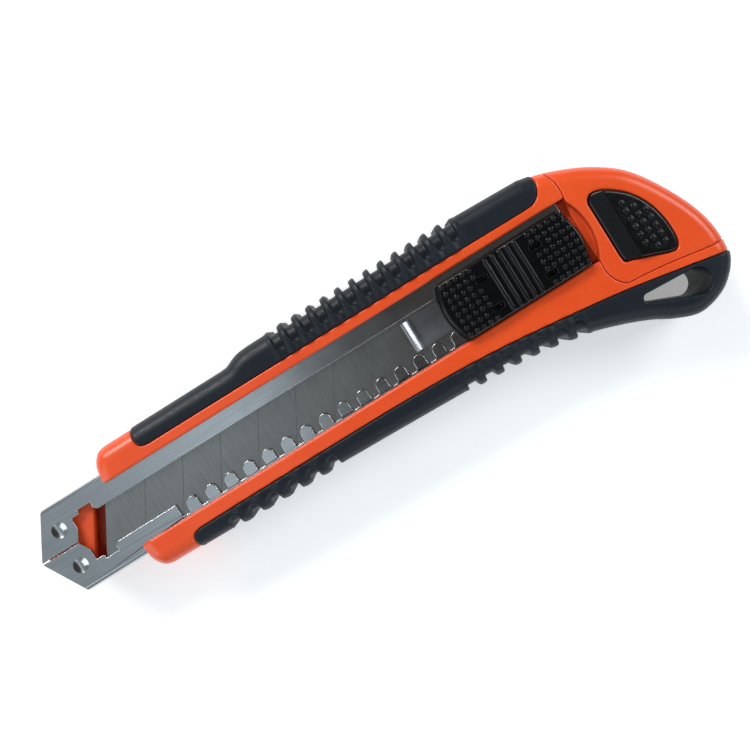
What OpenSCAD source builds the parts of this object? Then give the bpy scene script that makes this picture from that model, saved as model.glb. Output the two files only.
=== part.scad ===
// Snap-off utility knife, 18 mm blade, self-loading, with a pull-out spare-blade magazine.
// Millimetres. The knife lies on its back: +X runs from the nose to the tail, +Z is out of the
// face with the slider, and the blade's centreline is y = 0. Modules are drawn from the nose tip
// and moved so that the origin is on the back face at mid length.

/* [Handle] */
// Overall length from the nose of the rail to the tail
overall_len = 169; // [168:0.5:170]
// Thickness from the back face to the orange face
handle_t = 17; // [16.5:0.5:18]
// How far the edge of the shell is broken, in plan and in height
edge_break = 2.2; // [1.6:0.1:2.4]
// Thickness of the soft grip over the hard core
grip_skin = 2; // [1.6:0.1:2.2]

/* [Rail] */
// Outer width of the steel rail
rail_w = 21.2; // [21:0.1:21.6]
// Outer height of the steel rail
rail_h = 7; // [6.8:0.1:7.2]
// Sheet thickness
sheet = 0.8; // [0.7:0.05:0.9]
// Pitch of the rack's teeth
rack_pitch = 5; // [4.9:0.1:5.1]

/* [Blade] */
// Width of the blade
blade_w = 18; // [17.8:0.1:18]
// Length of the blade along its cutting edge
blade_len = 100; // [99:0.5:101]
// Thickness of the blade
blade_t = 0.5; // [0.4:0.05:0.5]
// Length of one snap-off segment
segment = 10; // [9.8:0.1:10.2]

/* [Slider] */
// Length of the thumb pad
pad_len = 34.6; // [33:0.1:35]
// Width of the thumb pad
pad_w = 14; // [13:0.1:14.4]

/* [Hidden] */
$fn = 48;
eps = 0.01;
snap_angle = 60;
x_mid = 85;

// Levels above the back face
rail_z = handle_t - 2 - rail_h;
rail_top = rail_z + rail_h;
flange_z = rail_top - sheet;
floor_z = rail_z + sheet;
blade_z = flange_z - 0.1 - blade_t;
gap = 0.1;
chamber_z = 2.2;
recess_z = rail_top - 0.1;

// Stations along the handle
ear_x = 20.8;
cap_x = 141.7;
slot_half = 8.1;
rail_end = 140.5;
chamber_x = 31;
part_gap = 0.15;

// Blade and rack places
blade_x = 16.6;
rack_x = 33.6;
gap_count = 18;
gap_w = 2.2;
lip_upper = 4.2;
lip_lower = -4.4;
gap_floor = -7.5;
lock_x = rack_x + (gap_count - 1) * rack_pitch;
pip_x = 105.3;
pip_y = -0.5;
pip_r = 1.9;

// Slider places
pad_x = 106.3;
pad_y = -0.6;
base_z = rail_top + gap;
base_top = 16.8;
press = 0.7;
pad_z = base_top + gap + press;
tongue_y = -0.3;
tongue_w = 7.2;
tongue_x = 96.4;
root_x = 130;

// Points of a Catmull-Rom curve through p, with n steps in each span
function spline(p, n = 6) = [for (i = [0:len(p) - 2]) for (k = [0:n - 1])
    let (a = p[max(i - 1, 0)], b = p[i], c = p[i + 1], d = p[min(i + 2, len(p) - 1)], t = k / n)
    0.5 * (2 * b + (c - a) * t + (2 * a - 5 * b + 4 * c - d) * t * t
        + (3 * b - a - 3 * c + d) * t * t * t)];

// The same for a closed curve
function loop_spline(p, n = 5) = [for (i = [0:len(p) - 1]) for (k = [0:n - 1])
    let (m = len(p), a = p[(i + m - 1) % m], b = p[i], c = p[(i + 1) % m], d = p[(i + 2) % m],
        t = k / n)
    0.5 * (2 * b + (c - a) * t + (2 * a - 5 * b + 4 * c - d) * t * t
        + (3 * b - a - 3 * c + d) * t * t * t)];

// Points of an elliptical arc about c, from angle a to angle b
function arc(c, rx, ry, a, b, n = 8) =
    [for (i = [0:n]) let (t = a + (b - a) * i / n) c + [rx * cos(t), ry * sin(t)]];

// A clockwise outline moved inward by d along its corner normals
function unit(v) = v / norm(v);
function inset(p, d) = [for (i = [0:len(p) - 1])
    let (m = len(p), u = unit(p[i] - p[(i + m - 1) % m]), v = unit(p[(i + 1) % m] - p[i]),
        n = unit([u.y, -u.x] + [v.y, -v.x]), k = max(0.5, n * [u.y, -u.x]))
    p[i] + n * d / k];

// Plan outline of the whole handle, clockwise from the lower front ear
ear_y = 15.5;
hump_y = 17.3;
ear_len = 5.4;
tail_line = [[137, 16.9], [147.7, 13.4], [157.2, 7.5], [163.9, -1.6], [168.2, -12], [168.7, -21.5],
    [164.2, -27.9], [156.3, -30.2], [147.8, -27], [135, -21.7], [122, -18.6], [100, -17.2]];
handle_outline = concat(
    arc([ear_x + ear_len, -slot_half], ear_len, ear_y - slot_half, 270, 180, 5),
    arc([ear_x + ear_len, slot_half], ear_len, ear_y - slot_half, 180, 90, 5),
    [for (k = [0:4]) [57 + 5.5 * k / 4, ear_y + (hump_y - ear_y) * (1 - cos(45 * k)) / 2]],
    [[118, 17.5]],
    spline(tail_line, 3), [[80, -16.4], [40, -15.6]]);

// Solid of the handle with its edges broken, before it is divided
module handle_blank() {
    rings = [[0, edge_break], [edge_break, 0], [handle_t - edge_break, 0], [handle_t, edge_break]];
    n = len(handle_outline);
    points = [for (r = rings) for (q = inset(handle_outline, r[1])) [q.x, q.y, r[0]]];
    sides = [for (r = [0:len(rings) - 2]) for (i = [0:n - 1])
        let (j = (i + 1) % n) each [[r * n + i, r * n + j, (r + 1) * n + j],
            [r * n + i, (r + 1) * n + j, (r + 1) * n + i]]];
    bottom = [[for (i = [n - 1:-1:0]) i]];
    top = [[for (i = [0:n - 1]) (len(rings) - 1) * n + i]];
    polyhedron(points, concat(bottom, sides, top), convexity = 6);
}

// Plan of the end cap; shift opens the parting line
module cap_zone(shift = 0) {
    translate([shift, shift])
        polygon(concat([[200, 40], [cap_x, 40], [cap_x, -slot_half - 1]],
            spline([[cap_x, -slot_half - 1], [cap_x + 0.7, -13], [144.2, -15], [147.6, -15.7],
                [157, -16.8]], 5), [[200, -21.9]]));
}

// Inner edge of each soft grip, running out past the outline
module grip_zone_upper() {
    end_r = 2.2;
    polygon(concat([[34.4, 40]], arc([32.7 + end_r, 10.6 + end_r], end_r, end_r, 150, 270),
        spline([[80, 10.6], [134.5, 10.3], [137.4, 11.3], [138.7, 14.6], [137.2, 17.6]], 5),
        [[137.2, 40]]));
}
module grip_zone_lower() {
    end_r = 2.2;
    polygon(concat([[32.7, -60]], arc([32.7 + end_r, -11.4 - end_r], end_r, end_r, 180, 90),
        spline([[60, -11.4], [95, -11.7], [120, -13.5], [140, -16], [159, -19.5], [174, -22.4]], 4),
        [[174, -60]]));
}

// Tapered slot for a wrist cord, through the tail
cord_slot_c = [158, -23.5];
cord_slot_r = 3.1;
cord_slot_tip = [146.6, -20.8];
cord_slot_tip_r = 0.9;
module cord_slot(grow = 0) {
    r = cord_slot_r + grow;
    tip_r = cord_slot_tip_r + grow;
    d = cord_slot_c - cord_slot_tip;
    a = atan2(d.y, d.x);
    b = acos((tip_r - r) / norm(d));
    translate([0, 0, -1]) linear_extrude(handle_t + 2)
        polygon(concat(arc(cord_slot_c, r, r, a - b, a + b, 20),
            arc(cord_slot_tip, tip_r, tip_r, a + b, a + 360 - b, 8)));
}

// Hard core under the soft grips; the lower grip also lines the cord slot
lining = 1;
module grip_core() {
    difference() {
        translate([0, 0, 1.6]) linear_extrude(handle_t - 3.2)
            polygon(inset(handle_outline, grip_skin));
        cord_slot(lining);
    }
}

// Finger grooves: round-ended pockets that run from the face over the edge and down the side
module groove(x, y_end, side, depth = 0.9, w = 2.1) {
    reach = 12;
    plan = concat([[w / 2, side * reach], [-w / 2, side * reach]],
        arc([0, 0], w / 2, side * w / 2, 180, 360, 4));
    for (z = [-1, handle_t - depth])
        translate([x, y_end, z]) linear_extrude(depth + 1) polygon(plan);
}
module grooves_upper() {
    for (i = [0:12]) groove(71.5 + 3.8 * i, 13.6, 1);
}
module grooves_lower() {
    for (i = [0:5]) groove(42.4 + 5.1 * i, -14.4, -1);
    for (i = [0:6]) groove(103.3 + 4.5 * i, -15.2 - 0.42 * i, -1);
}

// The shell's pieces are flat-faced all over and keep the size that they are drawn at
module shell_piece() {
    resize([0, 0, 0]) children();
}

module grip_upper() {
    color("#262b33") shell_piece() difference() {
        intersection() {
            handle_blank();
            translate([0, 0, -1]) linear_extrude(handle_t + 2) grip_zone_upper();
        }
        grip_core();
        grooves_upper();
    }
}

module grip_lower() {
    color("#262b33") shell_piece() difference() {
        intersection() {
            handle_blank();
            translate([0, 0, -1]) linear_extrude(handle_t + 2) grip_zone_lower();
        }
        grip_core();
        grooves_lower();
        cord_slot();
    }
}

// Hard shell: rail seat, slider slot, and the chamber that the cap's plug enters
module housing() {
    color("#e8501f") shell_piece() difference() {
        handle_blank();
        translate([0, 0, -1]) linear_extrude(handle_t + 2) cap_zone();
        difference() {
            translate([0, 0, -1]) linear_extrude(handle_t + 2) grip_zone_upper();
            grip_core();
        }
        difference() {
            translate([0, 0, -1]) linear_extrude(handle_t + 2) grip_zone_lower();
            grip_core();
        }
        translate([0, -rail_w / 2 - gap, rail_z - gap])
            cube([200, rail_w + 2 * gap, rail_h + 2 * gap]);
        translate([0, -slot_half, rail_top]) cube([200, 2 * slot_half, 10]);
        translate([chamber_x, -8, chamber_z]) cube([200, 16, rail_z]);
        cord_slot(lining);
        rail_screw_holes();
    }
}

// Two screws hold the rail's front end down from the back
screw_x = 26.5;
screw_y = 5.5;
screw_r = 1.2;
screw_head_r = 2.2;
module rail_screw_holes() {
    for (s = [-1, 1]) translate([screw_x, s * screw_y, 0]) {
        translate([0, 0, -1]) cylinder(r = screw_head_r + 0.2, h = 3.4);
        translate([0, 0, -1]) cylinder(r = screw_r + 0.1, h = 20);
    }
}
module rail_screws() {
    color("silver") for (s = [-1, 1]) translate([screw_x, s * screw_y, 0]) difference() {
        union() {
            translate([0, 0, 0.8]) cylinder(r = screw_head_r, h = 1.6);
            translate([0, 0, 2]) cylinder(r = screw_r, h = floor_z - 2);
        }
        for (a = [0, 90]) rotate(a) translate([-1.5, -0.3, 0]) cube([3, 0.6, 1.6]);
    }
}

// Nose of the rail in plan: a 60-degree point
nose_x = 6;
module nose_plan() {
    polygon([[0, 0], [nose_x, rail_w / 2], [rail_end, rail_w / 2], [rail_end, -rail_w / 2],
        [nose_x, -rail_w / 2]]);
}

// One gap of the rack, with round corners at its floor
gap_corner = 0.6;
module rack_gap(h) {
    translate([-gap_w / 2, gap_corner]) square([gap_w, h - gap_corner]);
    translate([gap_corner - gap_w / 2, 0]) square([gap_w - 2 * gap_corner, h]);
    for (s = [-1, 1]) translate([s * (gap_w / 2 - gap_corner), gap_corner])
        circle(r = gap_corner);
}

// What is cut from the rail's face: the slit, the window, the slot and the rack's gaps
module face_cut_plan() {
    tooth_r = (rack_pitch - gap_w) / 2;
    last_gap = rack_x + (gap_count - 1) * rack_pitch;
    translate([-1, -0.15]) square([12, 0.3]);
    polygon([[9.5, 0], [11.1, 2.6], [11.1, 5.3], [13.1, 5.4], [13.1, 6.3], [16.5, 6.3], [16.5, 4.9],
        [17.3, lip_upper], [rail_end + 1, lip_upper], [rail_end + 1, lip_lower], [17.3, lip_lower],
        [16.5, -4.9], [16.5, -6.3], [13.1, -6.3], [13.1, -5.4], [11.1, -5.3], [11.1, -2.6]]);
    for (i = [0:gap_count - 1])
        translate([rack_x + i * rack_pitch, gap_floor]) rack_gap(lip_lower - gap_floor + 1);
    translate([last_gap, gap_floor]) square([60, lip_lower - gap_floor + 1]);
    difference() {
        translate([rack_x, lip_lower - tooth_r])
            square([(gap_count - 1) * rack_pitch, tooth_r + 0.5]);
        for (i = [0:gap_count - 2])
            translate([rack_x + (i + 0.5) * rack_pitch, lip_lower - tooth_r]) circle(r = tooth_r);
    }
}

// Rectangle with round corners, made of exact circles
module round_rect(w, h, r) {
    translate([-w / 2 + r, 0]) square([w - 2 * r, h]);
    translate([-w / 2, r]) square([w, h - 2 * r]);
    for (x = [-w / 2 + r, w / 2 - r]) for (y = [r, h - r]) translate([x, y]) circle(r = r);
}

// Folded steel channel with the rack along its lower lip
dimple_x = 7.4;
dimple_y = 4.6;
dimple_r = 1.8;
dimple_depth = 0.45;
catch_x = 136.5;
catch_y = -5;
catch_w = 4;
catch_l = 2.2;
module rail() {
    ball = (dimple_r * dimple_r + dimple_depth * dimple_depth) / (2 * dimple_depth);
    color("#9aa3a8") difference() {
        intersection() {
            translate([0, 0, rail_z]) rotate([90, 0, 90]) linear_extrude(rail_end) difference() {
                round_rect(rail_w, rail_h, 1.1);
                translate([0, sheet]) round_rect(rail_w - 2 * sheet, rail_h - 2 * sheet, 0.3);
            }
            linear_extrude(handle_t) nose_plan();
        }
        translate([0, 0, flange_z - 0.3]) linear_extrude(5) face_cut_plan();
        for (s = [-1, 1]) {
            translate([dimple_x, s * dimple_y, rail_top + ball - dimple_depth]) sphere(r = ball);
            translate([screw_x, s * screw_y, 0]) cylinder(r = screw_r + 0.05, h = floor_z + 0.1);
        }
        translate([catch_x - 0.2, catch_y - 0.2, rail_z - 1])
            cube([catch_l + 0.4, catch_w + 0.4, 1 + sheet + 0.1]);
    }
}

// One blade: slanted front edge, honed bevel on the lower edge, scored segments and a tail hole
bevel_w = 1.6;
score_d = 0.12;
score_w = 0.22;
module blade_at(z) {
    slope = 1 / tan(snap_angle);
    tip_x = blade_x - slope * blade_w / 2;
    tail_x = tip_x + blade_len;
    translate([0, 0, z]) difference() {
        linear_extrude(blade_t) polygon([[tip_x, -blade_w / 2], [blade_x + slope * blade_w / 2,
            blade_w / 2], [tail_x - 3, blade_w / 2], [tail_x, blade_w / 2 - 4],
            [tail_x, -blade_w / 2 + 1], [tail_x - 1, -blade_w / 2]]);
        translate([pip_x, pip_y, -1]) cylinder(r = pip_r + 0.1, h = 3);
        for (s = [0, 1]) mirror([0, 0, s]) translate([0, 0, s ? -blade_t : 0])
            translate([0, -blade_w / 2, 0]) rotate([90, 0, 90]) linear_extrude(200)
                polygon([[-1, blade_t], [bevel_w, blade_t + eps], [bevel_w, blade_t],
                    [-0.1, blade_t / 2 + 0.02], [-1, blade_t / 2 + 0.02]]);
        for (i = [0:6]) translate([blade_x + 10.5 + i * segment, 0, blade_t - score_d])
            rotate(snap_angle) translate([-15, -score_w / 2, 0]) cube([30, score_w, 1]);
    }
}
module blade() {
    color("#6f7478") blade_at(blade_z);
}
module spare_blade_1() {
    color("#6f7478") blade_at(blade_z - blade_t - gap);
}
module spare_blade_2() {
    color("#6f7478") blade_at(blade_z - 2 * (blade_t + gap));
}

// Open tray that carries the spare blades inside the rail, with a slanted front wall
tray_w = 19.4;
tray_wall = 0.6;
tray_floor = 1;
tray_z = floor_z + gap;
tray_top = blade_z - 0.15;
tray_end = 145.6;
module magazine_tray() {
    slope = 1 / tan(snap_angle);
    wall_x = blade_x - 3.4;
    half = tray_w / 2 - tray_wall;
    color("#d8481a") difference() {
        union() {
            translate([0, 0, tray_z]) linear_extrude(tray_top - tray_z)
                polygon([[1.2, 0], [nose_x + 0.8, tray_w / 2], [140, tray_w / 2], [140, 8],
                    [tray_end, 8], [tray_end, -8], [140, -8], [140, -tray_w / 2],
                    [nose_x + 0.8, -tray_w / 2]]);
        }
        translate([0, 0, tray_z + tray_floor]) linear_extrude(10)
            polygon([[wall_x - slope * half, -half], [wall_x + slope * half, half], [138, half],
                [138, -half]]);
    }
}

// Bowed leaf that lifts the spare blades
module magazine_spring() {
    seat = tray_z + tray_floor;
    rise = blade_z - 2 * (blade_t + gap) - gap - 0.3 - seat;
    bow = [for (i = [0:16]) [30 + 4 * i, seat + rise * sin(11.25 * i)]];
    color("silver") translate([0, 4, 0]) rotate([90, 0, 0]) linear_extrude(8)
        polygon(concat(bow, [for (i = [16:-1:0]) bow[i] + [0, 0.3]]));
}

// Plan of the latch button
button_plan = loop_spline([[146.4, 4.2], [147.9, 5.7], [150.8, 4.8], [155.2, 1.2], [158.3, -3.7],
    [159.5, -9.8], [158.8, -13.9], [156.9, -14.3], [149.2, -11.8], [146.6, -10.7], [146.4, -3]], 4);

// Removable tail: hollow shell with the slider's recess, the button's window and the plug
arm_t = 1.1;
arm_z = rail_z - 0.7 - arm_t;
latch_travel = 1;
module end_cap() {
    recess_d = 2.4;
    recess_r = (slot_half * slot_half + recess_d * recess_d) / (2 * recess_d);
    color("#e8501f") shell_piece() difference() {
        union() {
            intersection() {
                handle_blank();
                translate([0, 0, -1]) linear_extrude(handle_t + 2) cap_zone(part_gap);
            }
            translate([128, -7.7, chamber_z + 0.2]) cube([18.2, 15.4, rail_z - chamber_z - 0.4]);
        }
        translate([0, 0, chamber_z]) linear_extrude(handle_t - 2 * chamber_z)
            polygon(spline([[146.2, 8], [150, 6.6], [155.5, 4], [161.4, -3.5], [164, -9],
                [164.6, -14.2], [146.2, -12.4], [146.2, 8]], 3));
        translate([0, 0, handle_t / 2]) linear_extrude(handle_t)
            polygon(inset(button_plan, -0.1));
        translate([cap_x + recess_d - recess_r, 0, recess_z]) cylinder(r = recess_r, h = 10);
        translate([cap_x, -8.1, tray_z - 0.1]) cube([4, 16.2, tray_top - tray_z + 0.2]);
        translate([127, -5.6, 4]) cube([14.8, 11.2, 10]);
        translate([141, catch_y - 0.3, arm_z - latch_travel - 0.3])
            cube([6, catch_w + 0.6, latch_travel + arm_t + 0.5]);
    }
}

// Sloped thumb button with the arm and nose that catch the rail's floor
button_top = handle_t + 1.2;
ridge_x = 150;
module latch_button() {
    color("#14171a") {
        intersection() {
            translate([0, 0, handle_t - 3]) linear_extrude(6) polygon(inset(button_plan, 0.05));
            translate([0, 20, 0]) rotate([90, 0, 0]) linear_extrude(40)
                polygon([[140, 0], [140, handle_t - 2.2], [ridge_x - 3.6, handle_t - 0.7],
                    [ridge_x, button_top], [ridge_x + 10, handle_t + 0.2], [165, handle_t - 0.4],
                    [165, 0]]);
        }
        translate([149, -9, handle_t - 3.6]) cube([12.2, 4, 1.3]);
        translate([147, catch_y, arm_z]) cube([2.5, catch_w, handle_t - arm_z - 2.5]);
        translate([catch_x, catch_y, arm_z]) cube([18.5, catch_w, arm_t]);
        translate([catch_x, catch_y, arm_z]) cube([catch_l, catch_w, arm_t + 1.2]);
    }
}

// Bowed leaf under the latch's post
module latch_spring() {
    seat = chamber_z + 0.02;
    rise = arm_z - 0.05 - 0.3 - seat;
    bow = [for (i = [0:10]) [146.6 + 1.2 * i, seat + rise * sin(18 * i)]];
    color("silver") translate([0, catch_y + 3.4, 0]) rotate([90, 0, 0]) linear_extrude(2.8)
        polygon(concat(bow, [for (i = [10:-1:0]) bow[i] + [0, 0.3]]));
}

// Plan of the slider's pad and base: a bar with shallow curved ends
module slider_plan(x, len, y, w, bulge = 1.9) {
    r = (w * w / 4 + bulge * bulge) / (2 * bulge);
    translate([x + bulge, y - w / 2]) square([len - 2 * bulge, w]);
    intersection() {
        translate([x, y - w / 2]) square([len, w]);
        union() {
            translate([x + r, y]) circle(r = r);
            translate([x + len - r, y]) circle(r = r);
        }
    }
}

// Clearance holes for the two rivets
rivet_x = [132.5, 137];
rivet_r = 1.2;
module rivet_holes() {
    for (x = rivet_x) translate([x, 0, 0]) cylinder(r = rivet_r + 0.05, h = 30);
}

// Frame that rides on the lips of the rail, with four hooks for the pad
hook_x = [117.2, 131];
hook_y = [-4.6, 2.5];
module slider_base() {
    color("#1a1d20") {
        difference() {
            translate([0, 0, base_z]) linear_extrude(base_top - base_z)
                slider_plan(105.7, 35.7, pad_y, pad_w + 0.6);
            translate([117.6, -1.9, base_z - 1]) cube([3.8, 3.8, 5]);
            rivet_holes();
            for (x = rivet_x) translate([x, 0, base_top - 0.45]) cylinder(r = 2, h = 2);
        }
        for (x = hook_x) for (y = hook_y)
            translate([x - 1, y - 0.4, base_top - 0.2]) cube([2, 0.8, 1.6]);
        difference() {
            translate([root_x, -3, flange_z + 0.75]) cube([9, 6, base_z - flange_z - 0.55]);
            rivet_holes();
        }
    }
}

// Thumb pad: level domed ends, a hollow ribbed middle, and the post that presses the lock
bump_r = 0.6;
saddle = 0.5;
pad_t = 1.5;
module slider_pad() {
    mid = pad_x + pad_len / 2;
    ends = [mid - 6.5, mid + 6.5];
    color("#14171a") {
        difference() {
            translate([0, 0, pad_z]) linear_extrude(pad_t)
                slider_plan(pad_x, pad_len, pad_y, pad_w);
            translate([0, 20, 0]) rotate([90, 0, 0]) linear_extrude(40)
                polygon(concat([[ends[1], pad_z + 4], [ends[0], pad_z + 4]],
                    [for (i = [0:8]) [ends[0] + 13 * i / 8, pad_z + pad_t + 0.01
                        - saddle * sin(22.5 * i)]]));
            for (x = hook_x) for (y = hook_y)
                translate([x - 1.3, y - 0.5, pad_z - 1]) cube([2.6, 1, 6]);
        }
        for (i = [0:9]) for (j = [0:5]) bump(i, j);
        for (i = [0:4]) translate([mid - 4.3 + 1.9 * i, pad_y - 5.8, pad_z + 0.5])
            cube([1, 11.6, pad_t - 0.35]);
        translate([118, -1.5, flange_z + 0.75]) cube([3, 3, pad_z - flange_z - 0.74]);
    }
}

// Dome in column i and row j; the hooks' slots and the middle take the place of some of them
module bump(i, j) {
    x = i < 5 ? 108.9 + 2.05 * i : 121.2 + 2.05 * i;
    by_slot = i > 2 && i < 6 && (j == 1 || j == 4);
    in_middle = i == 4 && j > 0 && j < 5;
    if (!by_slot && !in_middle)
        translate([x, -6.6 + 2.4 * j, pad_z + 0.5]) cylinder(r = bump_r, h = pad_t - 0.1);
}

// Steel carrier: wide plate under the lips behind the blade, tongue on the blade, turned-up lip
carrier_t = 0.5;
lip_r = 4.6;
lip_x = tongue_x + 3.1;
module blade_carrier() {
    tongue_z = blade_z + blade_t + 0.05;
    tail_x = blade_x - blade_w / 2 / tan(snap_angle) + blade_len;
    plate_x = tail_x + 0.6;
    color("#8d9397") difference() {
        union() {
            translate([plate_x, -9.3, blade_z]) cube([139.5 - plate_x, 18.6, carrier_t]);
            translate([tongue_x + 3, tongue_y - tongue_w / 2, tongue_z])
                cube([plate_x + 1.5 - tongue_x - 3, tongue_w, carrier_t]);
            translate([plate_x, tongue_y - tongue_w / 2, blade_z])
                cube([1.5, tongue_w, tongue_z - blade_z + carrier_t]);
            translate([0, tongue_y + tongue_w / 2, 0]) rotate([90, 0, 0])
                linear_extrude(tongue_w) polygon(concat(
                    arc([lip_x, tongue_z + lip_r], lip_r, lip_r, 270, 232, 10),
                    arc([lip_x, tongue_z + lip_r], lip_r - carrier_t, lip_r - carrier_t,
                        232, 270, 10)));
            translate([pip_x, pip_y, blade_z + 0.1]) cylinder(r = pip_r, h = 0.6);
        }
        translate([pip_x, pip_y, tongue_z + 0.2]) cylinder(r = pip_r - 0.3, h = 1);
        translate([plate_x + 2.4, -7.9, blade_z - 1]) cube([15.1, 11.2, 1.9]);
        rivet_holes();
    }
}

// Rivets through the carrier, the lock spring and the base
module carrier_rivets() {
    color("silver") for (x = rivet_x) translate([x, 0, 0]) {
        translate([0, 0, blade_z]) cylinder(r = rivet_r, h = base_top - blade_z);
        translate([0, 0, base_top - 0.4]) cylinder(r = 1.9, h = 0.4);
    }
}

// Leaf with the lock tooth that drops between the rack's teeth
module lock_spring() {
    spring_z = blade_z + carrier_t + 0.05;
    color("silver") difference() {
        union() {
            translate([root_x, -2.4, spring_z]) cube([9, 4.8, 0.65]);
            translate([116.8, -2.4, spring_z + 0.2]) cube([root_x - 116.8 + eps, 4.8, 0.45]);
            translate([lock_x - 0.9, -7, spring_z + 0.2]) cube([1.8, 5, 0.45]);
        }
        rivet_holes();
    }
}

translate([-x_mid, 0, 0]) {
    housing();
    grip_upper();
    grip_lower();
    rail();
    rail_screws();
    blade();
    spare_blade_1();
    spare_blade_2();
    magazine_tray();
    magazine_spring();
    end_cap();
    latch_button();
    latch_spring();
    slider_base();
    slider_pad();
    blade_carrier();
    carrier_rivets();
    lock_spring();
}
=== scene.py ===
"""Looks of the snap-off knife. Sizes are in millimetres from the nose tip until a mesh is made."""

import math

import bpy
import numpy as np
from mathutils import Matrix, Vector


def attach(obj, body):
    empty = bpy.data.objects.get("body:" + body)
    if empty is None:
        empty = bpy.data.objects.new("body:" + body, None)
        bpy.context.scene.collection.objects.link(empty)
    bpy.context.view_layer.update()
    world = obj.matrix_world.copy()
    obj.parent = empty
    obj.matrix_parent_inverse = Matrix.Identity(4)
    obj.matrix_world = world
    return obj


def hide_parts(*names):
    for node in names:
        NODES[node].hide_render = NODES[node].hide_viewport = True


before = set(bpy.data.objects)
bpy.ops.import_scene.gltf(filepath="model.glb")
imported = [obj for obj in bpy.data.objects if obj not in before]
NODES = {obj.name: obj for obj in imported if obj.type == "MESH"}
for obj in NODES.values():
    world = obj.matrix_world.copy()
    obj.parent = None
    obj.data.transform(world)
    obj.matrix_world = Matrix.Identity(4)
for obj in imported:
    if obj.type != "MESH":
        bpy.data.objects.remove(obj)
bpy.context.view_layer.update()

MM = 0.001
X_MID = 85.0  # the frame's origin is this far behind the nose tip

# Levels above the back face
CHAMBER_Z = 2.2
TRAY_Z = (8.9, 13.45)
SEAT_Z = 14.9  # floor of the slider's slot in the shell, just under the rail's top
BASE_Z = 15.1
FACE_Z = 17.0
GRIP_Z = 17.25
PAD_Z = 17.6

# The slider, and where the base's hooks pass through the pad
SLOT = (-7.95, 8.1)
PAD_X = 106.3
PAD_LEN = 34.6
PAD_Y = -0.6
PAD_W = 14.0
PAD_SLOTS = [(x, y) for x in (117.2, 131.0) for y in (-4.6, 2.5)]

CAP_X = 141.7  # where the end cap starts


# ---------------------------------------------------------------- distance fields


class Grid:
    """A box of samples. Plan fields have the shape (nx, ny, 1) and spread over z."""

    def __init__(self, low, high, step):
        self.low = np.array(low, np.float32)
        self.step = step
        axes = [np.arange(a, b + step, step, dtype=np.float32) for a, b in zip(low, high)]
        self.x = axes[0][:, None, None]
        self.y = axes[1][None, :, None]
        self.z = axes[2][None, None, :]


def plan_distance(g, points):
    """Signed distance in plan to a closed outline, negative inside."""
    px, py = g.x + 0 * g.y, g.y + 0 * g.x
    best = np.full(px.shape, 1e9, np.float32)
    inside = np.zeros(px.shape, bool)
    pts = np.asarray(points, np.float32)
    for a, b in zip(pts, np.roll(pts, -1, axis=0)):
        ex, ey = b - a
        wx, wy = px - a[0], py - a[1]
        t = np.clip((wx * ex + wy * ey) / (ex * ex + ey * ey + 1e-12), 0, 1)
        best = np.minimum(best, (wx - ex * t) ** 2 + (wy - ey * t) ** 2)
        if ey:
            crosses = ((a[1] <= py) != (b[1] <= py)) & (wx < ex * wy / ey)
            inside ^= crosses
    return np.where(inside, -1, 1) * np.sqrt(best)


def both(a, b, r):
    """Where a and b overlap, with the edge between them rounded by r."""
    return np.minimum(np.maximum(a, b), -r) + np.hypot(np.maximum(a + r, 0), np.maximum(b + r, 0))


def without(a, b, r):
    """a with b taken away, edge rounded by r."""
    return both(a, -b, r)


def slab(v, low, high):
    """Signed distance to the space between two planes."""
    return np.maximum(low - v, v - high)


def smooth_curve(points, n=6, closed=False):
    """Catmull-Rom curve through the points."""
    p = np.asarray(points, float)
    if closed:
        p = np.vstack([p[-1:], p, p[:2]])
    else:
        p = np.vstack([2 * p[0] - p[1], p, 2 * p[-1] - p[-2]])
    out = []
    for i in range(1, len(p) - 2):
        a, b, c, d = p[i - 1 : i + 3]
        for t in np.arange(n) / n:
            square = (2 * a - 5 * b + 4 * c - d) * t**2
            cube = (3 * b - a - 3 * c + d) * t**3
            out.append(0.5 * (2 * b + (c - a) * t + square + cube))
    if not closed:
        out.append(p[-2])
    return np.array(out)


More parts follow.
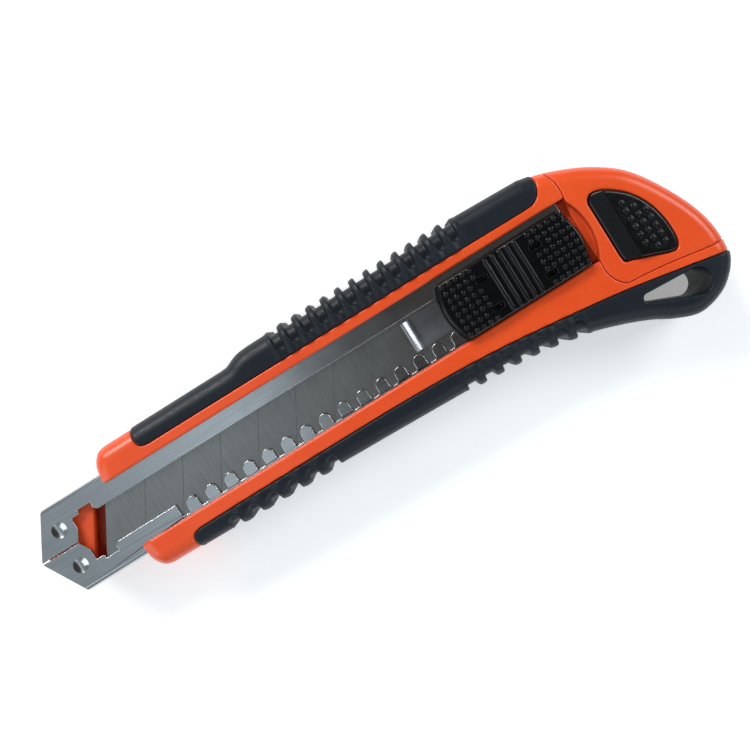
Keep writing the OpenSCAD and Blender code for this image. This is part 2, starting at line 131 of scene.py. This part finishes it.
def surface_net(field):
    """Vertices and quads of the field's zero level, one vertex in each cell that it crosses."""
    inside = field < 0
    nx, ny, nz = field.shape
    corner = [(i, j, k) for i in (0, 1) for j in (0, 1) for k in (0, 1)]
    count = np.zeros((nx - 1, ny - 1, nz - 1), np.uint8)
    for i, j, k in corner:
        count += inside[i : nx - 1 + i, j : ny - 1 + j, k : nz - 1 + k]
    cells = np.argwhere((count > 0) & (count < 8))
    total = np.zeros((len(cells), 3))
    hits = np.zeros(len(cells))
    cx, cy, cz = cells.T
    for axis in range(3):
        for u in (0, 1):
            for v in (0, 1):
                a = [0, 0, 0]
                a[(axis + 1) % 3], a[(axis + 2) % 3] = u, v
                b = list(a)
                b[axis] = 1
                fa = field[cx + a[0], cy + a[1], cz + a[2]]
                fb = field[cx + b[0], cy + b[1], cz + b[2]]
                hit = (fa < 0) != (fb < 0)
                t = np.where(hit, fa / np.where(hit, fa - fb, 1), 0)
                p = np.tile(np.array(a, float), (len(cells), 1))
                p[:, axis] = t
                total += np.where(hit[:, None], p, 0)
                hits += hit
    verts = cells + total / hits[:, None]
    index = np.full(count.shape, -1, np.int64)
    index[cx, cy, cz] = np.arange(len(cells))
    quads = []
    for axis in range(3):
        u, v = (axis + 1) % 3, (axis + 2) % 3
        lo = [slice(None)] * 3
        hi = [slice(None)] * 3
        lo[axis], hi[axis] = slice(0, -1), slice(1, None)
        start, end = inside[tuple(lo)], inside[tuple(hi)]
        edges = np.argwhere(start != end)
        edges = edges[(edges[:, u] > 0) & (edges[:, v] > 0)]
        edges = edges[(edges[:, u] < field.shape[u] - 1) & (edges[:, v] < field.shape[v] - 1)]
        ring = []
        for du, dv in ((-1, -1), (0, -1), (0, 0), (-1, 0)):
            c = edges.copy()
            c[:, u] += du
            c[:, v] += dv
            ring.append(index[c[:, 0], c[:, 1], c[:, 2]])
        q = np.stack(ring, 1)
        out = start[edges[:, 0], edges[:, 1], edges[:, 2]]
        quads.append(np.where(out[:, None], q, q[:, ::-1]))
    return verts, np.vstack(quads)


def sample(field, p):
    """Field value and gradient at p, in cells."""
    top = np.array(field.shape) - 2
    i = np.clip(np.floor(p).astype(int), 0, top)
    f = p - i
    c = {}
    for a in (0, 1):
        for b in (0, 1):
            for d in (0, 1):
                c[a, b, d] = field[i[:, 0] + a, i[:, 1] + b, i[:, 2] + d]
    x, y, z = f.T

    def mix(a, b, t):
        return a + (b - a) * t

    y0 = [mix(mix(c[a, 0, 0], c[a, 1, 0], y), mix(c[a, 0, 1], c[a, 1, 1], y), z) for a in (0, 1)]
    x0 = [mix(mix(c[0, b, 0], c[1, b, 0], x), mix(c[0, b, 1], c[1, b, 1], x), z) for b in (0, 1)]
    z0 = [mix(mix(c[0, 0, d], c[1, 0, d], x), mix(c[0, 1, d], c[1, 1, d], x), y) for d in (0, 1)]
    return mix(y0[0], y0[1], x), np.stack([y0[1] - y0[0], x0[1] - x0[0], z0[1] - z0[0]], 1)


def solid(name, field, g, body, slot, material, *nodes):
    """Makes a piece from a field and puts it in place of its CAD nodes."""
    verts, quads = surface_net(field)
    for _ in range(2):  # Newton steps that draw the vertices onto the field's zero level
        value, grad = sample(field, verts)
        move = grad * (value / np.maximum((grad**2).sum(1), 1e-3))[:, None]
        length = np.maximum(np.linalg.norm(move, axis=1), 1e-9)
        verts = verts - move * np.minimum(1, 0.5 / length)[:, None]
    verts = (verts * g.step + g.low - np.array([X_MID, 0, 0])) * MM
    mesh = bpy.data.meshes.new(name)
    mesh.vertices.add(len(verts))
    mesh.vertices.foreach_set("co", verts.astype(np.float32).ravel())
    mesh.loops.add(quads.size)
    mesh.loops.foreach_set("vertex_index", quads.astype(np.int32).ravel())
    mesh.polygons.add(len(quads))
    mesh.polygons.foreach_set("loop_start", np.arange(0, quads.size, 4, dtype=np.int32))
    mesh.update(calc_edges=True)
    mesh.validate()
    mesh.shade_smooth()
    obj = bpy.data.objects.new(name, mesh)
    bpy.context.scene.collection.objects.link(obj)
    obj.data.materials.append(material)
    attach(obj, body)
    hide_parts(*nodes)


# ---------------------------------------------------------------- outlines of the handle

EAR_UP = [(20.9, 8.0), (21.1, 10.0), (21.6, 12.2), (22.5, 13.8), (23.8, 15.0), (25.4, 15.4)]
EAR_LOW = [(25.4, -15.2), (23.8, -14.8), (22.5, -13.6), (21.6, -12.0), (21.1, -9.8), (20.9, -8.0)]
RAMP = [(57, 15.5), (58.6, 15.7), (60.2, 16.4), (62, 17.0), (64.5, 17.25), (68, 17.3)]
TAIL = [
    (136, 16.85), (141.4, 15.6), (147.5, 13.25), (152.5, 10.6), (157, 7.3), (160.2, 3.7),
    (163.6, -1.7), (166.4, -7.4), (168.1, -12.6), (168.65, -17.6), (168.2, -21.9),
    (165.8, -25.6), (161.9, -28.5), (156, -29.9), (150.6, -28.2), (145, -25.2), (138, -22.4),
    (130, -20.0), (120, -18.2), (108, -17.35), (90, -16.65), (70, -16.0),
]
HANDLE = np.vstack([
    smooth_curve(EAR_UP, 4), smooth_curve(RAMP, 4), [(118, 17.45)], smooth_curve(TAIL, 5),
    smooth_curve(EAR_LOW, 4),
])
UPPER_GRIP = np.vstack([
    [(33.5, 40)],
    smooth_curve([(32.6, 14), (32.7, 12.2), (33.3, 11.1), (34.9, 10.62), (38, 10.6)], 5),
    smooth_curve([(80, 10.6), (110, 10.5), (128, 10.35), (134.4, 10.35), (136.3, 10.7),
                  (137.7, 11.8), (138.6, 13.4), (139.1, 15.4), (139.2, 18)], 5),
    [(139.2, 40)],
])
LOWER_GRIP = np.vstack([
    [(33.5, -60)],
    smooth_curve([(32.6, -15), (32.7, -13.2), (33.3, -12.0), (34.9, -11.45), (38, -11.4)], 5),
    smooth_curve([(60, -11.4), (84, -11.5), (100, -12.0), (114, -13.0), (124, -14.1),
                  (140, -16.1), (150, -17.8), (160, -19.7), (170, -21.6)], 4),
    [(175, -60)],
])
CAP_LINE = np.vstack([
    [(200, 40), (CAP_X, 40), (CAP_X, 16)],
    smooth_curve([(CAP_X, 14.6), (142.4, 12.8), (142.6, 9.6), (142.3, 7.0), (141.9, 0),
                  (141.9, -8.6), (141.8, -10.4), (142.2, -12.4), (143.0, -14.0), (144.6, -15.5),
                  (147.5, -15.8), (152.2, -16.3), (157, -17.0), (165, -18.3), (170, -18.4)], 4),
    [(200, -19)],
])
LINING = 1.0  # the lower grip lines the cord slot this thick
CORD_SLOT = ((146.7, -20.7), 1.0, (158.3, -23.4), 3.05)


def tapered(g, a, ra, b, rb):
    """Distance in plan to a bar with two round ends of different radius."""
    ax, ay = a
    dx, dy = b[0] - ax, b[1] - ay
    t = np.clip(((g.x - ax) * dx + (g.y - ay) * dy) / (dx * dx + dy * dy), 0, 1)
    return np.hypot(g.x - ax - dx * t, g.y - ay - dy * t) - (ra + (rb - ra) * t)


def cushion(plan, g, low, high, r_top, r_bottom):
    """Solid over a plan distance, between two levels, with its edges rounded."""
    return both(both(plan, g.z - high, r_top), low - g.z, r_bottom)


def rib_pockets(g, xs, starts, side, half, shell, depth):
    """Pockets that run from a round end at the start, over the edge and down the side."""
    cut = None
    for x, y in zip(xs, starts):
        bar = np.where((g.y - y) * side > 0, abs(g.x - x), np.hypot(g.x - x, g.y - y)) - half
        cut = bar if cut is None else np.minimum(cut, bar)
    return np.maximum(cut, -(shell + depth))


# ---------------------------------------------------------------- materials


class Look:
    """A procedural material: nodes are added by name and wired by socket."""

    def __init__(self, name, **settings):
        self.m = bpy.data.materials.new(name)
        self.m.use_nodes = True
        self.tree = self.m.node_tree
        self.shader = self.tree.nodes["Principled BSDF"]
        for key, value in settings.items():
            self.shader.inputs[key.replace("_", " ")].default_value = value
        self.coord = self.tree.nodes.new("ShaderNodeTexCoord").outputs["Object"]

    def node(self, kind):
        return self.tree.nodes.new("ShaderNode" + kind)

    def link(self, a, b):
        self.tree.links.new(a, b)

    def noise(self, scale, detail, stretch=(1, 1, 1)):
        place = self.node("Mapping")
        place.inputs["Scale"].default_value = stretch
        self.link(self.coord, place.inputs["Vector"])
        n = self.node("TexNoise")
        n.inputs["Scale"].default_value = scale
        n.inputs["Detail"].default_value = detail
        self.link(place.outputs[0], n.inputs["Vector"])
        return n.outputs["Fac"]

    def ramp(self, fac, stops):
        r = self.node("ValToRGB")
        while len(r.color_ramp.elements) < len(stops):
            r.color_ramp.elements.new(0.5)
        for e, (at, colour) in zip(r.color_ramp.elements, stops):
            e.position = at
            e.color = (*colour, 1)
        self.link(fac, r.inputs[0])
        return r.outputs[0]

    def spread(self, fac, low, high):
        """Stretches a noise's middle to the range from low to high."""
        m = self.node("MapRange")
        m.inputs["From Min"].default_value = 0.3
        m.inputs["From Max"].default_value = 0.7
        m.inputs["To Min"].default_value = low
        m.inputs["To Max"].default_value = high
        self.link(fac, m.inputs["Value"])
        return m.outputs[0]

    def bump(self, height, strength, distance):
        b = self.node("Bump")
        b.inputs["Strength"].default_value = strength
        b.inputs["Distance"].default_value = distance
        self.link(height, b.inputs["Height"])
        self.link(b.outputs[0], self.shader.inputs["Normal"])

    def set(self, key, value):
        self.link(value, self.shader.inputs[key])


def moulded(name, dark, light, rough, grain, grain_strength, specular=0.5):
    """Moulded plastic or rubber: slow colour drift, uneven gloss and a fine surface grain."""
    look = Look(name, Specular_IOR_Level=specular)
    look.set("Base Color", look.ramp(look.noise(60, 4), [(0.3, dark), (0.7, light)]))
    look.set("Roughness", look.spread(look.noise(900, 3), *rough))
    look.bump(look.noise(grain, 2), grain_strength, 0.00005)
    return look.m


def steel(name, dark, light, rough, stretch, streak=2500, strength=0.12, anisotropy=0.5):
    """Rolled or ground steel: fine streaks along one direction and faint smears."""
    look = Look(name, Metallic=1.0, Anisotropic=anisotropy)
    look.set("Base Color", look.ramp(look.noise(streak, 4, stretch), [(0.25, dark), (0.75, light)]))
    look.set("Roughness", look.spread(look.noise(120, 5, (1, 1.6, 1)), *rough))
    look.bump(look.noise(streak, 3, stretch), strength, 0.00004)
    return look.m


ORANGE = moulded("orange_shell", (0.80, 0.075, 0.013), (0.86, 0.095, 0.018), (0.27, 0.33),
                 grain=5000, grain_strength=0.025)
TRAY = moulded("orange_tray", (0.74, 0.07, 0.012), (0.80, 0.085, 0.016), (0.38, 0.48),
               grain=5000, grain_strength=0.12)
GRIP = moulded("soft_grip", (0.0070, 0.0110, 0.0165), (0.0095, 0.0145, 0.0210), (0.38, 0.50),
               grain=6500, grain_strength=0.22, specular=0.30)
BLACK = moulded("black_plastic", (0.0022, 0.0026, 0.0030), (0.0034, 0.0039, 0.0045), (0.15, 0.22),
                grain=5500, grain_strength=0.05, specular=0.38)
RAIL = steel("rail_sheet", (0.50, 0.52, 0.53), (0.60, 0.61, 0.62), (0.14, 0.20), (0.04, 1, 1),
             strength=0.03, anisotropy=0.3)
BLADE = steel("blade_ground", (0.29, 0.29, 0.285), (0.36, 0.36, 0.355), (0.28, 0.36), (1, 0.08, 1),
              strength=0.02, anisotropy=0.2)
CARRIER = steel("carrier_sheet", (0.31, 0.32, 0.34), (0.40, 0.42, 0.45), (0.26, 0.34), (0.1, 1, 1),
                strength=0.05)
SPRING = steel("spring_strip", (0.42, 0.42, 0.43), (0.55, 0.56, 0.57), (0.2, 0.3), (0.06, 1, 1))
SCREW = steel("plated_screw", (0.45, 0.45, 0.46), (0.60, 0.61, 0.62), (0.2, 0.3), (1, 1, 1))


def metal_node(name, material, width, segments=2, clamp=True):
    """Keeps a CAD node, breaks its edges and gives it its finish."""
    obj = NODES[name]
    obj.data.materials.clear()
    obj.data.materials.append(material)
    weld = obj.modifiers.new("weld", "WELD")
    weld.merge_threshold = 1e-6
    bevel = obj.modifiers.new("edges", "BEVEL")
    bevel.width = width * MM
    bevel.segments = segments
    bevel.limit_method = "ANGLE"
    bevel.angle_limit = math.radians(35)
    bevel.harden_normals = True
    bevel.use_clamp_overlap = clamp


for node, material, width in (
    ("blade", BLADE, 0.02), ("spare_blade_1", BLADE, 0.02),
    ("spare_blade_2", BLADE, 0.02), ("blade_carrier", CARRIER, 0.08),
    ("carrier_rivets", SCREW, 0.1), ("lock_spring", SPRING, 0.05),
    ("magazine_spring", SPRING, 0.04), ("latch_spring", SPRING, 0.04),
    ("rail_screws", SCREW, 0.12),
):
    metal_node(node, material, width)
metal_node("rail", RAIL, 0.12, 3, clamp=False)

# ---------------------------------------------------------------- shell and grips

EDGE_TOP = 3.6
EDGE_BOTTOM = 3.0
JOIN = 0.22  # small radius where two mouldings meet
GRIP_DEPTH = 1.8  # of the soft grips into the shell
UPPER_RIBS = (71.5, 3.8, 13)  # first station, pitch and number of pockets
LOWER_FRONT_RIBS = (42.4, 5.1, 6)
LOWER_REAR_RIBS = (103.6, 4.48, 7)
POCKET_DEPTH = 1.0


def blank(g):
    """The whole handle before it is divided, and its plan."""
    plan = plan_distance(g, HANDLE)
    return cushion(plan, g, 0.0, FACE_Z, EDGE_TOP, EDGE_BOTTOM), plan


def make_housing():
    """The shell: cap, grips, rail seat, slider slot, spring chamber and screw holes cut away."""
    g = Grid((19, -31.6, -0.7), (170.2, 19.2, 18.2), 0.3)
    body, _ = blank(g)
    cap = plan_distance(g, CAP_LINE)
    f = without(body, cap + 0 * g.z, JOIN)
    for outline in (UPPER_GRIP, LOWER_GRIP):
        skin = both(plan_distance(g, outline) + 0 * g.z, -(body + GRIP_DEPTH), 0.05)
        f = without(f, skin - 0.02, JOIN)
    rail = both(slab(g.y, -10.7, 10.7), slab(g.z, 7.9, 15.1), 0.4) + 0 * g.x
    f = without(f, rail, 0.15)
    slot = np.maximum(slab(g.y, *SLOT), SEAT_Z - g.z) + 0 * g.x
    f = without(f, slot, 0.45)
    chamber = np.maximum(np.maximum(slab(g.y, -8, 8), slab(g.z, CHAMBER_Z, 10)), 31 - g.x)
    f = without(f, chamber, 0.2)
    f = without(f, tapered(g, *CORD_SLOT) - LINING - 0.05 + 0 * g.z, 0.1)
    for y in (-5.5, 5.5):
        hole = np.hypot(g.x - 26.5, g.y - y)
        f = without(f, np.maximum(hole - 2.4, g.z - 2.4), 0.15)
        f = without(f, hole - 1.3 + 0 * g.z, 0.1)
    solid("housing", f, g, "handle", "shell_orange", ORANGE, "housing")


def grip_field(outline, box, pockets):
    """A soft grip inside its outline: a little proud of the shell, with its finger grooves."""
    g = Grid(*box, 0.25)
    zone = plan_distance(g, outline)
    body, plan = blank(g)
    outer = cushion(plan - (GRIP_Z - FACE_Z), g, 0.0, GRIP_Z, EDGE_TOP, EDGE_BOTTOM)
    f = pockets(g, outer)
    f = both(f, zone + 0.06 + 0 * g.z, 0.45)
    core = np.maximum(body + GRIP_DEPTH + 0.05, LINING - tapered(g, *CORD_SLOT))
    return without(f, core, 0.1), g


def stations(ribs):
    """Where the pockets of one row stand."""
    first, pitch, number = ribs
    return first + pitch * np.arange(number)


def lands(g, first, last, middle, pitch, height):
    """Height of the rounded lands between pockets, fading out at both ends of the row."""
    near = np.clip((g.x - first) / 2, 0, 1) * np.clip((last - g.x) / 2, 0, 1)
    return height * near * (0.5 + 0.5 * np.cos(2 * np.pi * ((g.x - middle) / pitch)))


def upper_pockets(g, outer):
    """The row of thirteen grooves along the back edge."""
    xs = stations(UPPER_RIBS)
    swell = lands(g, 69, 119.5, 73.856, UPPER_RIBS[1], 0.45) * (g.y > 0)
    body = np.maximum(outer - swell, -g.z)
    cut = rib_pockets(g, xs, 13.85 + 0 * xs, 1, 1.12, outer, POCKET_DEPTH)
    return without(body, cut, 0.25)


def lower_pockets(g, outer):
    """The two rows of grooves along the lower edge. The rear row's starts follow its curve."""
    front = stations(LOWER_FRONT_RIBS)
    rear = stations(LOWER_REAR_RIBS)
    swell = lands(g, 40.5, 69.5, 44.95, LOWER_FRONT_RIBS[1], 0.4)
    swell = swell + lands(g, 101.5, 133, 105.85, LOWER_REAR_RIBS[1], 0.4)
    body = np.maximum(outer - swell, -g.z)
    past = rear - rear[0]
    rear_y = -15.1 - 0.052 * past - 0.0016 * past**2
    cut = np.minimum(rib_pockets(g, front, -14.4 + 0 * front, -1, 1.2, outer, POCKET_DEPTH),
                     rib_pockets(g, rear, rear_y, -1, 1.2, outer, POCKET_DEPTH))
    return without(body, cut, 0.25)


def make_grips():
    """Both soft grips. The lower one lines the cord slot."""
    f, g = grip_field(UPPER_GRIP, ((31, 8.5, -0.8), (141, 19.6, 18.4)), upper_pockets)
    solid("grip_upper", f, g, "handle", "grip_dark", GRIP, "grip_upper")
    f, g = grip_field(LOWER_GRIP, ((31, -31.8, -0.8), (170.4, -9.6, 18.4)), lower_pockets)
    f = without(f, tapered(g, *CORD_SLOT) + 0 * g.z, 0.5)
    solid("grip_lower", f, g, "handle", "grip_dark", GRIP, "grip_lower")


# ---------------------------------------------------------------- end cap and its button

BUTTON = smooth_curve([
    (146.5, 4.3), (147.6, 5.6), (149.6, 5.4), (152.4, 3.8), (155.6, 0.9), (158.0, -3.2),
    (159.2, -8.0), (159.2, -12.6), (158.1, -14.6), (156.4, -14.6), (152.8, -13.2),
    (148.6, -11.7), (146.8, -11.2), (146.4, -9.6), (146.4, -3.0), (146.4, 2.6),
], 4, closed=True)


def make_cap():
    """The tail shell, hollow, with its plug, tray pocket, arm slot, recess, scoop and window."""
    g = Grid((126.5, -19.6, -0.7), (170.2, 18.6, 18.2), 0.25)
    body, plan = blank(g)
    cap = plan_distance(g, CAP_LINE)
    f = both(body, cap + 0.12 + 0 * g.z, JOIN)
    wall = 2.6
    plug_end = 146.2
    hollow = cushion(plan + wall, g, CHAMBER_Z, 14.6, 1.0, 1.0)
    hollow = np.maximum(hollow, np.maximum(plug_end - g.x, cap + wall))
    f = without(f, hollow, 0.1)
    plug = both(both(slab(g.x, 128, plug_end), slab(g.y, -7.7, 7.7), 0.6), slab(g.z, 2.4, 7.8), 0.4)
    plug = without(plug, np.maximum(np.maximum(slab(g.y, -5.6, 5.6), 4 - g.z), g.x - 141.8), 0.2)
    f = np.minimum(f, plug)
    tray = np.maximum(np.maximum(slab(g.y, -8.1, 8.1), slab(g.z, 8.8, 13.55)), g.x - 145.7)
    f = without(f, tray, 0.05)
    arm = np.maximum(np.maximum(slab(g.y, -5.3, -0.7), slab(g.z, 4.9, 7.7)), slab(g.x, 140, 147))
    f = without(f, arm, 0.05)
    # The recess that the slider runs into, and the shallow scoop behind it
    recess = np.maximum(np.hypot(g.x - 129.2, g.y - 0.05) - 14.95, SEAT_Z - g.z)
    f = without(f, recess, 0.35)
    scoop = np.sqrt(((g.x - 141.5) / 1.0) ** 2 + ((g.y + 0.5) / 1.9) ** 2
                    + ((g.z - 20.6) / 0.85) ** 2) - 5.0
    f = without(f, scoop, 0.5)
    window = plan_distance(g, BUTTON) - 0.16
    f = without(f, np.maximum(window, 8 - g.z), 0.35)
    solid("end_cap", f, g, "magazine", "shell_orange", ORANGE, "end_cap")


def studs_on(g, places, base, radius, height, foot):
    """Small round-topped studs down to the level foot. base is their surface's distance."""
    stud = None
    for x, y in places:
        d = np.hypot(g.x - x, g.y - y) - radius
        stud = d if stud is None else np.minimum(stud, d)
    return both(both(stud + 0 * g.z, base - height, 0.28), foot - g.z, 0.1)


def make_button():
    """The head of the latch's button: a ridge, a ramp before it and three columns of studs behind
    it. The post, arm and nose under it, which the CAD has, are not drawn."""
    g = Grid((145.6, -15.6, 13.4), (160.6, 6.6, 19.4), 0.14)
    plan = plan_distance(g, BUTTON)
    ridge = 150.2
    ridge_z = 18.15
    top = np.where(g.x < ridge, ridge_z - 0.42 * (ridge - g.x), ridge_z - 0.13 * (g.x - ridge))
    slope = (g.z - top) * 0.95
    f = both(both(plan + 0 * g.z, slope, 0.6), 13.9 - g.z, 0.2)
    columns = ((152.3, 0.4, 6), (154.4, -1.6, 6), (156.5, -3.6, 5))
    places = [(x, y - 2.05 * i) for x, y, n in columns for i in range(n)]
    f = np.minimum(f, studs_on(g, places, slope, 0.56, 0.34, 15))
    solid("latch_button", f, g, "latch", "black_plastic", BLACK, "latch_button")


# ---------------------------------------------------------------- slider


def bar_plan(g, x, length, y, width, bulge=1.9):
    """Plan of a bar whose two ends are shallow arcs."""
    r = (width * width / 4 + bulge * bulge) / (2 * bulge)
    end = x + length
    left = np.where(g.x < x + bulge, np.hypot(g.x - (x + r), g.y - y) - r, -9)
    right = np.where(g.x > end - bulge, np.hypot(g.x - (end - r), g.y - y) - r, -9)
    ends = np.maximum(left, right)
    return both(ends, abs(g.y - y) - width / 2, 0.8)


def make_base():
    """The frame under the pad: a window for the pad's post, rivet seats and four hooks."""
    g = Grid((104.8, -9.2, 13.8), (142.4, 8.0, 19.6), 0.2)
    plan = bar_plan(g, 105.7, 35.7, PAD_Y, PAD_W + 0.6)
    f = cushion(plan + 0 * g.z, g, BASE_Z, 16.75, 0.35, 0.2)
    window = np.maximum(np.maximum(slab(g.x, 117.6, 121.4), slab(g.y, -1.9, 1.9)), 15 - g.z)
    f = without(f, window, 0.1)
    for x in (132.5, 137.0):
        f = without(f, np.maximum(np.hypot(g.x - x, g.y) - 2.0, 16.35 - g.z), 0.1)
        f = without(f, np.hypot(g.x - x, g.y) - 1.25 + 0 * g.z, 0.1)
    for x, y in PAD_SLOTS:
        hook = both(slab(g.x, x - 1, x + 1), slab(g.y, y - 0.4, y + 0.4), 0.1)
        f = np.minimum(f, both(hook, slab(g.z, 16.5, 18.5), 0.1))
    solid("slider_base", f, g, "slider", "black_plastic", BLACK, "slider_base")


def make_pad():
    """The thumb pad: five cross ribs in the middle, studs at both ends and four slots. The post
    under it, which the CAD has, is not drawn."""
    g = Grid((105.6, -8.6, 16.9), (141.6, 7.4, 20.2), 0.12)
    mid = PAD_X + PAD_LEN / 2
    foot = PAD_Z + 0.3
    plan = bar_plan(g, PAD_X, PAD_LEN, PAD_Y, PAD_W)
    # Low in the ribbed middle, rising to both ends and falling off at the rim
    hollow = 0.55 * np.clip(1 - np.abs(g.x - mid) / 8.5, 0, 1) ** 1.2
    crown = 0.35 * ((g.x - mid) / (PAD_LEN / 2)) ** 2 + 0.25 * ((g.y - PAD_Y) / (PAD_W / 2)) ** 2
    top = g.z - (PAD_Z + 1.65 - hollow - crown)
    f = both(both(plan + 0 * g.z, top, 0.55), PAD_Z - g.z, 0.2)
    rib_pitch = 1.9
    ribs = None
    for i in range(5):
        x = mid - 2 * rib_pitch + rib_pitch * i
        bar = both(abs(g.x - x) - 0.42, abs(g.y - PAD_Y) - 6.5, 0.4)
        ribs = bar if ribs is None else np.minimum(ribs, bar)
    ribs = both(both(ribs + 0 * g.z, top - 0.55, 0.3), foot - g.z, 0.1)
    f = np.minimum(f, ribs)
    pitch = 1.74  # of the studs, both ways
    columns = [PAD_X + 2.4 + pitch * i for i in range(5)]
    columns += [PAD_X + PAD_LEN - 1.5 - pitch * i for i in range(6)]
    places = [(x, y) for x in columns for y in PAD_Y + pitch * (np.arange(8) - 3.5)
              if not any(abs(x - a) < 2.1 and abs(y - b) < 1.2 for a, b in PAD_SLOTS)]
    f = np.minimum(f, studs_on(g, places, top, 0.46, 0.34, foot))
    for x, y in PAD_SLOTS:
        hole = both(slab(g.x, x - 1.35, x + 1.35), slab(g.y, y - 0.55, y + 0.55), 0.2)
        f = without(f, hole + 0 * g.z, 0.12)
    solid("slider_pad", f, g, "pad", "black_plastic", BLACK, "slider_pad")


# ---------------------------------------------------------------- tray


def make_tray():
    """The magazine's tray: pointed front, a well with the blade's own slant, a narrower rear."""
    g = Grid((0.4, -10.4, 8.2), (146.4, 10.4, 14.2), 0.3)
    half, rear_half, waist, end = 9.65, 8, 140, 145.6
    outline = [(1.2, 0), (6.8, half), (waist, half), (waist, rear_half), (end, rear_half),
               (end, -rear_half), (waist, -rear_half), (waist, -half), (6.8, -half)]
    slant = 1 / math.tan(math.radians(60))
    f = cushion(plan_distance(g, outline) + 0 * g.z, g, *TRAY_Z, 0.25, 0.15)
    front = 13.2 + slant * g.y
    well = np.maximum(np.maximum((front - g.x) * 0.866, abs(g.y) - 9.1), g.x - 138)
    f = without(f, np.maximum(well, 9.9 - g.z), 0.25)
    solid("magazine_tray", f, g, "magazine", "tray_orange", TRAY, "magazine_tray")


make_housing()
make_grips()
make_cap()
make_button()
make_base()
make_pad()
make_tray()

# ---------------------------------------------------------------- floor, light and camera

CAMERA_HEIGHT = 0.205  # above the blade
CAMERA_XY = (0.009, 0.0065)
BLADE_Z = 0.0137
TURN = math.radians(31.9)  # of the picture's upper side from the knife's length
LENS = 43.5912
SHIFT = (-0.01, -0.0744)


def make_floor():
    """A pale floor that gives off a little light of its own, so that shadows stay faint."""
    mesh = bpy.data.meshes.new("floor")
    s = 3.0
    mesh.from_pydata([(-s, -s, 0), (s, -s, 0), (s, s, 0), (-s, s, 0)], [], [(0, 1, 2, 3)])
    floor = bpy.data.objects.new("floor", mesh)
    bpy.context.scene.collection.objects.link(floor)
    look = Look("paper", Roughness=0.9, Specular_IOR_Level=0.2, Emission_Strength=0.35)
    look.set("Base Color", look.ramp(look.noise(40, 2), [(0.3, (0.93,) * 3), (0.7, (0.95,) * 3)]))
    look.shader.inputs["Emission Color"].default_value = (1, 1, 1, 1)
    mesh.materials.append(look.m)


def area_light(name, at, toward, size, power, colour):
    """A soft rectangular light, facing a point."""
    data = bpy.data.lights.new(name, "AREA")
    data.shape = "RECTANGLE"
    data.size, data.size_y = size
    data.energy = power
    data.color = colour
    obj = bpy.data.objects.new(name, data)
    bpy.context.scene.collection.objects.link(obj)
    obj.location = at
    obj.rotation_euler = (Vector(toward) - Vector(at)).to_track_quat("-Z", "Y").to_euler()


# Brightness of the room by the X part of the direction, set for the camera's own view:
# pale over the nose and dark over the cap, with the step that the rail's upper flange mirrors.
ROOM_X = (-0.60, 0.40)
ROOM = [(-0.60, (0.22, 0.25, 0.28)), (-0.44, (0.34, 0.39, 0.42)), (-0.36, (0.32, 0.36, 0.39)),
        (-0.22, (0.62, 0.72, 0.78)), (-0.135, (0.78, 0.88, 0.94)), (-0.115, (0.065, 0.061, 0.056)),
        (0.10, (0.060, 0.053, 0.047)), (0.40, (0.05, 0.05, 0.05))]


def make_room():
    """The room's light, which the steel mirrors and all else is filled by."""
    world = bpy.data.worlds.new("room")
    world.use_nodes = True
    tree = world.node_tree
    coord = tree.nodes.new("ShaderNodeTexCoord")
    split = tree.nodes.new("ShaderNodeSeparateXYZ")
    span = tree.nodes.new("ShaderNodeMapRange")
    ramp = tree.nodes.new("ShaderNodeValToRGB")
    tree.links.new(coord.outputs["Generated"], split.inputs[0])
    span.inputs["From Min"].default_value, span.inputs["From Max"].default_value = ROOM_X
    tree.links.new(split.outputs["X"], span.inputs["Value"])
    tree.links.new(span.outputs[0], ramp.inputs[0])
    while len(ramp.color_ramp.elements) < len(ROOM):
        ramp.color_ramp.elements.new(0.5)
    for element, (x, colour) in zip(ramp.color_ramp.elements, ROOM):
        element.position = (x - ROOM_X[0]) / (ROOM_X[1] - ROOM_X[0])
        element.color = (*colour, 1)
    tree.links.new(ramp.outputs[0], tree.nodes["Background"].inputs["Color"])
    bpy.context.scene.world = world


def make_light():
    """A key from the upper grip's side, weaker light from the nose and the lower grip's side, and
    a soft light behind the cap."""
    area_light("key", (-0.20, 0.85, 0.62), (0, 0, 0), (0.60, 0.28), 8.0, (1.0, 0.98, 0.95))
    area_light("side", (-0.95, -0.1, 0.50), (0, 0, 0), (0.6, 0.9), 3.0, (0.95, 0.98, 1.0))
    area_light("fill", (0.35, -0.85, 0.55), (0, 0, 0), (1.1, 0.5), 3.2, (0.85, 0.94, 1.0))
    area_light("behind", (0.80, 0.10, 0.62), (0.07, 0, 0), (0.5, 0.35), 3.6, (0.90, 0.96, 1.0))


def make_camera():
    """Straight above the knife, turned about the vertical."""
    data = bpy.data.cameras.new("camera")
    data.sensor_width = 36
    data.lens = LENS
    data.shift_x, data.shift_y = SHIFT
    cam = bpy.data.objects.new("camera", data)
    bpy.context.scene.collection.objects.link(cam)
    cam.location = (*CAMERA_XY, BLADE_Z + CAMERA_HEIGHT)
    cam.rotation_euler = (0, 0, -TURN)
    data.clip_start = 0.01
    bpy.context.scene.camera = cam


make_floor()
make_room()
make_light()
make_camera()
bpy.context.scene.view_settings.view_transform = "Standard"
